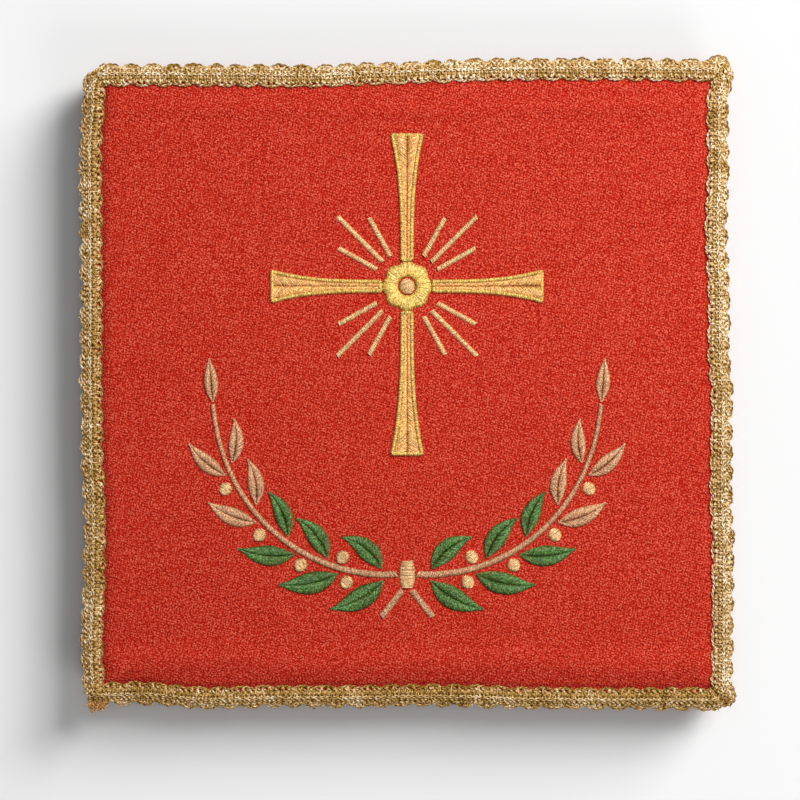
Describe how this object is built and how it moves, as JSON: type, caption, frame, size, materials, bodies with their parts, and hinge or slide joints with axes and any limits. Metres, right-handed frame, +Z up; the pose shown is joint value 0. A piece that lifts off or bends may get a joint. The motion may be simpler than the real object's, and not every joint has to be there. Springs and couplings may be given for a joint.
{
  "type": "chalice pall",
  "caption": "Stiff square chalice pall in red crepe, with a scalloped gold braid edge, an embroidered cross and an olive wreath.",
  "frame": {"origin": "middle of the footprint, on the surface it lies on", "axes": "+X to the right and +Y to the top of the embroidered design as it is read, +Z up out of its face"},
  "size_m": [0.1607, 0.1601, 0.0049],
  "materials": {
    "red_crepe": "matt crepe weave",
    "braid_gold": "metallic lurex braid",
    "yellow_gold_thread": "glossy satin stitch",
    "pale_gold_thread": "glossy satin stitch",
    "beige_thread": "satin stitch",
    "green_thread": "satin stitch"
  },
  "bodies": {
    "root": {"berry_left_1": "pale_gold_thread", "berry_left_2": "pale_gold_thread", "berry_left_3": "pale_gold_thread", "berry_left_4": "pale_gold_thread", "berry_left_5": "pale_gold_thread", "berry_right_1": "pale_gold_thread", "berry_right_2": "pale_gold_thread", "berry_right_3": "pale_gold_thread", "berry_right_4": "pale_gold_thread", "berry_right_5": "pale_gold_thread", "cloth_panel": "red_crepe", "cross_arm_bottom": "yellow_gold_thread", "cross_arm_left": "yellow_gold_thread", "cross_arm_right": "yellow_gold_thread", "cross_arm_top": "yellow_gold_thread", "cross_ray_01": "pale_gold_thread", "cross_ray_02": "pale_gold_thread", "cross_ray_03": "pale_gold_thread", "cross_ray_04": "pale_gold_thread", "cross_ray_05": "pale_gold_thread", "cross_ray_06": "pale_gold_thread", "cross_ray_07": "pale_gold_thread", "cross_ray_08": "pale_gold_thread", "cross_ray_09": "pale_gold_thread", "cross_ray_10": "pale_gold_thread", "cross_ray_11": "pale_gold_thread", "cross_ray_12": "pale_gold_thread", "cross_rosette": "yellow_gold_thread", "gold_braid": "braid_gold", "leaf_left_1": "green_thread", "leaf_left_10": "beige_thread", "leaf_left_11": "beige_thread", "leaf_left_2": "green_thread", "leaf_left_3": "green_thread", "leaf_left_4": "green_thread", "leaf_left_5": "green_thread", "leaf_left_6": "green_thread", "leaf_left_7": "beige_thread", "leaf_left_8": "beige_thread", "leaf_left_9": "beige_thread", "leaf_right_1": "green_thread", "leaf_right_10": "beige_thread", "leaf_right_11": "beige_thread", "leaf_right_2": "green_thread", "leaf_right_3": "green_thread", "leaf_right_4": "green_thread", "leaf_right_5": "green_thread", "leaf_right_6": "green_thread", "leaf_right_7": "beige_thread", "leaf_right_8": "beige_thread", "leaf_right_9": "beige_thread", "rosette_eye": "pale_gold_thread", "stem_end_left": "beige_thread", "stem_end_right": "beige_thread", "stem_left": "beige_thread", "stem_right": "beige_thread", "wreath_tie": "pale_gold_thread"}
  },
  "joints": []
}
